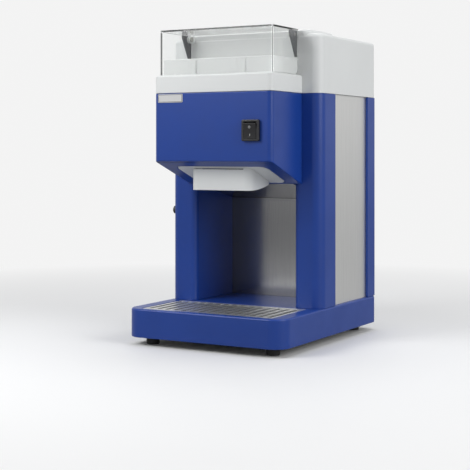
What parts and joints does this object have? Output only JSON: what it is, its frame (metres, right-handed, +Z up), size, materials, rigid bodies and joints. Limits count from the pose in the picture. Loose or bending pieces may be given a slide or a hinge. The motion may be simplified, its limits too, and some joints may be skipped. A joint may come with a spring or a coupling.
{
  "type": "ice shaver",
  "caption": "Electric countertop ice shaver: painted steel column with an open bowl bay, white hopper rim with a clear hinged guard, outlet spout, rocker switch and slotted drip grate.",
  "frame": {"origin": "on the table under the middle of the machine, at the centre of the bottom of its bounding box", "axes": "+Z up, front with the bowl bay and switch towards -Y, +X to the right as seen from the front"},
  "size_m": [0.2753, 0.342, 0.4805],
  "materials": {
    "blue_paint": "satin blue enamel",
    "brushed_steel": "brushed",
    "polished_steel": "polished sheet",
    "white_plastic": "satin moulded",
    "clear_plastic": "clear moulded",
    "dark_plastic": "satin moulded",
    "black_plastic": "moulded",
    "rubber": "matte",
    "zinc_steel": "zinc plated",
    "cast_metal": "as cast",
    "dark_metal": "lacquered laminations"
  },
  "bodies": {
    "housing": {"foot_front_left": "rubber", "foot_front_right": "rubber", "foot_rear_left": "rubber", "foot_rear_right": "rubber", "base_shell": "blue_paint", "base_plate": "zinc_steel", "well_frame": "zinc_steel", "pillar_left": "blue_paint", "pillar_right": "blue_paint", "side_panel_left": "brushed_steel", "side_panel_right": "brushed_steel", "rear_frame": "blue_paint", "back_cover": "zinc_steel", "cord_gland": "black_plastic", "bay_liner": "polished_steel", "head_shell": "blue_paint", "switch_housing": "black_plastic", "chute_panel": "white_plastic", "outlet_spout": "white_plastic", "hopper": "white_plastic", "drum_cover": "white_plastic", "hinge_lug_left": "white_plastic", "hinge_lug_right": "white_plastic", "hinge_pin_left": "zinc_steel", "hinge_pin_right": "zinc_steel", "rear_top_cover": "white_plastic", "lid_switch": "black_plastic", "ice_drum": "white_plastic", "shaft_seal": "rubber", "deck_plate": "zinc_steel", "bearing_housing": "cast_metal", "spindle_bearing": "brushed_steel", "drive_belt": "rubber", "motor_lower_bell": "cast_metal", "motor_body": "dark_metal", "motor_upper_bell": "cast_metal", "adjust_bracket": "zinc_steel", "capacitor_clamp": "dark_plastic", "capacitor": "brushed_steel", "terminal_block": "white_plastic", "side_thumb_screw": "black_plastic"},
    "lid": {"lid_guard": "clear_plastic", "lid_arm_left": "dark_plastic", "lid_arm_right": "dark_plastic"},
    "rocker": {"switch_rocker": "dark_plastic"},
    "spindle": {"drive_shaft": "zinc_steel", "large_pulley": "cast_metal", "impeller": "brushed_steel"},
    "rotor": {"motor_shaft": "zinc_steel", "motor_rotor": "dark_metal", "motor_pulley": "cast_metal", "motor_fan": "dark_plastic"},
    "blade_screw": {"adjust_screw": "zinc_steel"},
    "blade_carriage": {"blade": "polished_steel", "blade_holder": "cast_metal", "blade_clamp": "brushed_steel"},
    "tray": {"drip_tray": "brushed_steel"},
    "grate": {"drip_grate": "brushed_steel"}
  },
  "joints": [
    {"name": "lid_hinge", "type": "hinge", "parent": "housing", "child": "lid", "pos_m": [0, -0.056, 0.472], "axis": [-1, 0, 0], "range_deg": [0, 95]},
    {"name": "rocker_tilt", "type": "hinge", "parent": "housing", "child": "rocker", "pos_m": [0.0685, -0.1409, 0.3255], "axis": [-1, 0, 0], "range_deg": [0, 16]},
    {"name": "impeller_spin", "type": "hinge", "parent": "housing", "child": "spindle", "pos_m": [0, -0.044, 0.29], "axis": [0, 0, 1], "continuous": true},
    {"name": "motor_spin", "type": "hinge", "parent": "housing", "child": "rotor", "pos_m": [0, 0.098, 0.35], "axis": [0, 0, 1], "continuous": true},
    {"name": "adjust_turn", "type": "hinge", "parent": "housing", "child": "blade_screw", "pos_m": [0.053, -0.0815, 0.272], "axis": [0, 0, 1], "range_deg": [0, 720]},
    {"name": "blade_slide", "type": "slide", "parent": "housing", "child": "blade_carriage", "axis": [0, 0, 1], "range_m": [-0.002, 0]},
    {"name": "tray_lift", "type": "slide", "parent": "housing", "child": "tray", "axis": [0, 0, 1], "range_m": [0, 0.045]},
    {"name": "grate_lift", "type": "slide", "parent": "tray", "child": "grate", "axis": [0, 0, 1], "range_m": [0, 0.03]}
  ],
  "couplings": [
    {"joint": "motor_spin", "follows": "impeller_spin", "ratio": 2}
  ]
}
